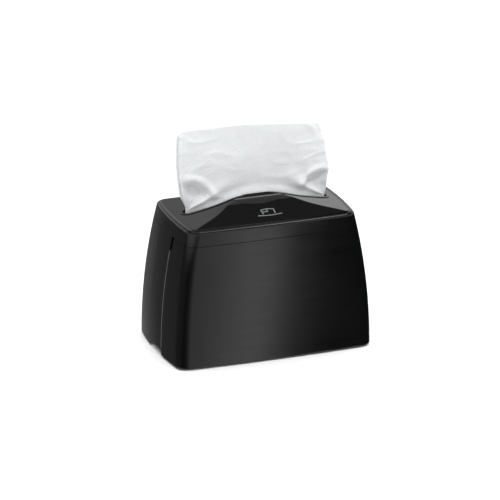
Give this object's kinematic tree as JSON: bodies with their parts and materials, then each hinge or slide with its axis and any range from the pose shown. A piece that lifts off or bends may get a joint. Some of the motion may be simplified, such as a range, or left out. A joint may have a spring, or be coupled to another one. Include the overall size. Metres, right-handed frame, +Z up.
{
  "type": "countertop napkin dispenser",
  "caption": "Free-standing counter dispenser for interfolded napkins: tapered glossy shell, low four-facet top with a long slot, one napkin standing up.",
  "frame": {"origin": "on the counter, under the middle of the object", "axes": "+Z up, front faces -Y, +X to the right of someone facing the front"},
  "size_m": [0.215, 0.1296, 0.2302],
  "materials": {
    "shell": "glossy black moulded plastic",
    "base": "matt black moulded plastic",
    "inner": "matt dark grey moulded plastic",
    "pusher": "matt light grey moulded plastic",
    "latch": "satin mid-grey moulded plastic",
    "foot": "matt black rubber",
    "steel": "bright drawn spring steel",
    "screw": "plated steel",
    "napkin": "white two-ply tissue with fine diagonal embossing"
  },
  "bodies": {
    "housing": {"arch_housing": "shell", "rear_cover": "shell", "base_plate": "base", "foot_front_left": "foot", "foot_front_right": "foot", "foot_rear_left": "foot", "foot_rear_right": "foot", "base_screws": "screw", "rear_cover_screws": "screw", "magazine_side_left": "inner", "magazine_side_right": "inner", "magazine_back": "inner", "latch_pin_left": "steel", "latch_pin_right": "steel"},
    "front_cover": {"front_cover": "shell"},
    "pusher": {"pusher_plate": "pusher", "pusher_spring_left": "steel", "pusher_spring_right": "steel", "napkin_stack": "napkin"},
    "top_napkin": {"top_napkin": "napkin"},
    "latch_left": {"latch_lever_left": "latch", "latch_spring_left": "steel"},
    "latch_right": {"latch_lever_right": "latch", "latch_spring_right": "steel"}
  },
  "joints": [
    {"name": "front_cover_slide", "type": "slide", "parent": "housing", "child": "front_cover", "axis": [0, -1, 0], "range_m": [0, 0.12]},
    {"name": "pusher_travel", "type": "slide", "parent": "housing", "child": "pusher", "axis": [0, 0, 1], "range_m": [-0.064, 0], "stiffness_N_per_m": 230, "springref_m": 0.03, "deforming": ["pusher_spring_left", "pusher_spring_right"]},
    {"name": "napkin_pull", "type": "slide", "parent": "housing", "child": "top_napkin", "axis": [0, 0, 1], "range_m": [0, 0.095]},
    {"name": "latch_left_turn", "type": "hinge", "parent": "housing", "child": "latch_left", "pos_m": [-0.0905, -0.004, 0.11725], "axis": [0, 0, -1], "range_deg": [0, 5.5], "stiffness_Nm_per_rad": 0.005, "springref_deg": 20.05},
    {"name": "latch_right_turn", "type": "hinge", "parent": "housing", "child": "latch_right", "pos_m": [0.0905, -0.004, 0.11725], "axis": [0, 0, 1], "range_deg": [0, 5.5], "stiffness_Nm_per_rad": 0.005, "springref_deg": 20.05}
  ]
}
